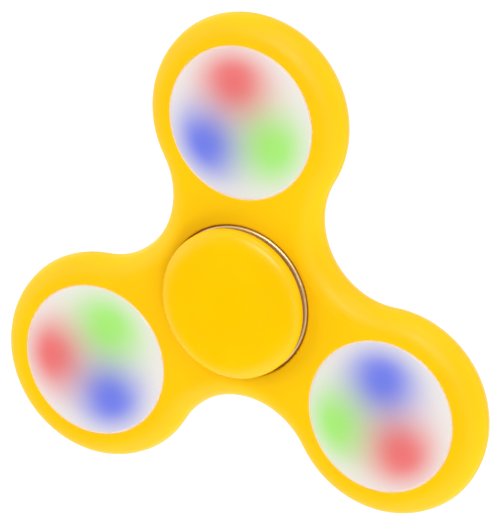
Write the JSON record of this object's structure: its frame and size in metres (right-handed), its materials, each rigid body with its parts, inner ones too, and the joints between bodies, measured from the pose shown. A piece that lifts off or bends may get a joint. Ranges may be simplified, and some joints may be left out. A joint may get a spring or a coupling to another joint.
{
  "type": "fidget spinner",
  "caption": "Lobed finger spinner with a ball bearing hub, dished finger caps and a lamp module with a press button in each lobe.",
  "frame": {"origin": "centre of the hub bearing, on the spin axis at the bearing's middle plane", "axes": "+Z along the spin axis towards the lamp lenses, +Y through the middle of lobe a"},
  "size_m": [0.075, 0.069, 0.013],
  "materials": {
    "body_plastic": "moulded ABS, satin gloss",
    "cap_plastic": "moulded ABS, satin gloss",
    "milky_lens": "milky diffuser",
    "housing_plastic": "moulded",
    "cover_plastic": "moulded, fine texture",
    "button_plastic": "moulded",
    "switch_plastic": "moulded",
    "circuit_board": "solder mask",
    "driver_resin": "epoxy",
    "lamp_red": "clear resin",
    "lamp_blue": "clear resin",
    "lamp_green": "clear resin",
    "contact_brass": "plated spring strip",
    "cell_steel": "nickel plated",
    "screw_steel": "nickel plated",
    "bearing_steel": "ground",
    "shield_steel": "pressed",
    "cage_steel": "pressed",
    "ball_steel": "polished"
  },
  "bodies": {
    "finger_grips": {"inner_race": "bearing_steel", "front_cap": "cap_plastic", "rear_cap": "cap_plastic"},
    "rotor": {"body_shell": "body_plastic", "outer_race": "bearing_steel", "shield_front": "shield_steel", "shield_rear": "shield_steel", "lens_a": "milky_lens", "housing_a": "housing_plastic", "board_a": "circuit_board", "lamp_red_a": "lamp_red", "lamp_blue_a": "lamp_blue", "lamp_green_a": "lamp_green", "driver_a": "driver_resin", "switch_a": "switch_plastic", "contacts_a": "contact_brass", "cells_a": "cell_steel", "cover_a": "cover_plastic", "screws_a": "screw_steel", "lens_b": "milky_lens", "housing_b": "housing_plastic", "board_b": "circuit_board", "lamp_red_b": "lamp_red", "lamp_blue_b": "lamp_blue", "lamp_green_b": "lamp_green", "driver_b": "driver_resin", "switch_b": "switch_plastic", "contacts_b": "contact_brass", "cells_b": "cell_steel", "cover_b": "cover_plastic", "screws_b": "screw_steel", "lens_c": "milky_lens", "housing_c": "housing_plastic", "board_c": "circuit_board", "lamp_red_c": "lamp_red", "lamp_blue_c": "lamp_blue", "lamp_green_c": "lamp_green", "driver_c": "driver_resin", "switch_c": "switch_plastic", "contacts_c": "contact_brass", "cells_c": "cell_steel", "cover_c": "cover_plastic", "screws_c": "screw_steel"},
    "cage": {"cage_front": "cage_steel", "cage_rear": "cage_steel", "cage_rivets": "cage_steel"},
    "ball_1": {"ball_1": "ball_steel"},
    "ball_2": {"ball_2": "ball_steel"},
    "ball_3": {"ball_3": "ball_steel"},
    "ball_4": {"ball_4": "ball_steel"},
    "ball_5": {"ball_5": "ball_steel"},
    "ball_6": {"ball_6": "ball_steel"},
    "ball_7": {"ball_7": "ball_steel"},
    "button_a": {"button_a": "button_plastic"},
    "button_b": {"button_b": "button_plastic"},
    "button_c": {"button_c": "button_plastic"}
  },
  "joints": [
    {"name": "rotor_spin", "type": "hinge", "parent": "finger_grips", "child": "rotor", "pos_m": [0, 0, 0], "axis": [0, 0, 1], "continuous": true},
    {"name": "cage_spin", "type": "hinge", "parent": "finger_grips", "child": "cage", "pos_m": [0, 0, 0], "axis": [0, 0, 1], "continuous": true},
    {"name": "ball_1_spin", "type": "hinge", "parent": "cage", "child": "ball_1", "pos_m": [0.0075, 0, 0], "axis": [0, 0, 1], "continuous": true},
    {"name": "ball_2_spin", "type": "hinge", "parent": "cage", "child": "ball_2", "pos_m": [0.00468, 0.00586, 0], "axis": [0, 0, 1], "continuous": true},
    {"name": "ball_3_spin", "type": "hinge", "parent": "cage", "child": "ball_3", "pos_m": [-0.00167, 0.00731, 0], "axis": [0, 0, 1], "continuous": true},
    {"name": "ball_4_spin", "type": "hinge", "parent": "cage", "child": "ball_4", "pos_m": [-0.00676, 0.00325, 0], "axis": [0, 0, 1], "continuous": true},
    {"name": "ball_5_spin", "type": "hinge", "parent": "cage", "child": "ball_5", "pos_m": [-0.00676, -0.00325, 0], "axis": [0, 0, 1], "continuous": true},
    {"name": "ball_6_spin", "type": "hinge", "parent": "cage", "child": "ball_6", "pos_m": [-0.00167, -0.00731, 0], "axis": [0, 0, 1], "continuous": true},
    {"name": "ball_7_spin", "type": "hinge", "parent": "cage", "child": "ball_7", "pos_m": [0.00468, -0.00586, 0], "axis": [0, 0, 1], "continuous": true},
    {"name": "button_a_press", "type": "slide", "parent": "rotor", "child": "button_a", "axis": [0, 0, 1], "range_m": [0, 0.0004], "stiffness_N_per_m": 2000, "springref_m": -0.0002},
    {"name": "button_b_press", "type": "slide", "parent": "rotor", "child": "button_b", "axis": [0, 0, 1], "range_m": [0, 0.0004], "stiffness_N_per_m": 2000, "springref_m": -0.0002},
    {"name": "button_c_press", "type": "slide", "parent": "rotor", "child": "button_c", "axis": [0, 0, 1], "range_m": [0, 0.0004], "stiffness_N_per_m": 2000, "springref_m": -0.0002}
  ],
  "couplings": [
    {"joint": "cage_spin", "follows": "rotor_spin", "ratio": 0.6323},
    {"joint": "ball_1_spin", "follows": "rotor_spin", "ratio": 1.7573},
    {"joint": "ball_2_spin", "follows": "rotor_spin", "ratio": 1.7573},
    {"joint": "ball_3_spin", "follows": "rotor_spin", "ratio": 1.7573},
    {"joint": "ball_4_spin", "follows": "rotor_spin", "ratio": 1.7573},
    {"joint": "ball_5_spin", "follows": "rotor_spin", "ratio": 1.7573},
    {"joint": "ball_6_spin", "follows": "rotor_spin", "ratio": 1.7573},
    {"joint": "ball_7_spin", "follows": "rotor_spin", "ratio": 1.7573}
  ]
}
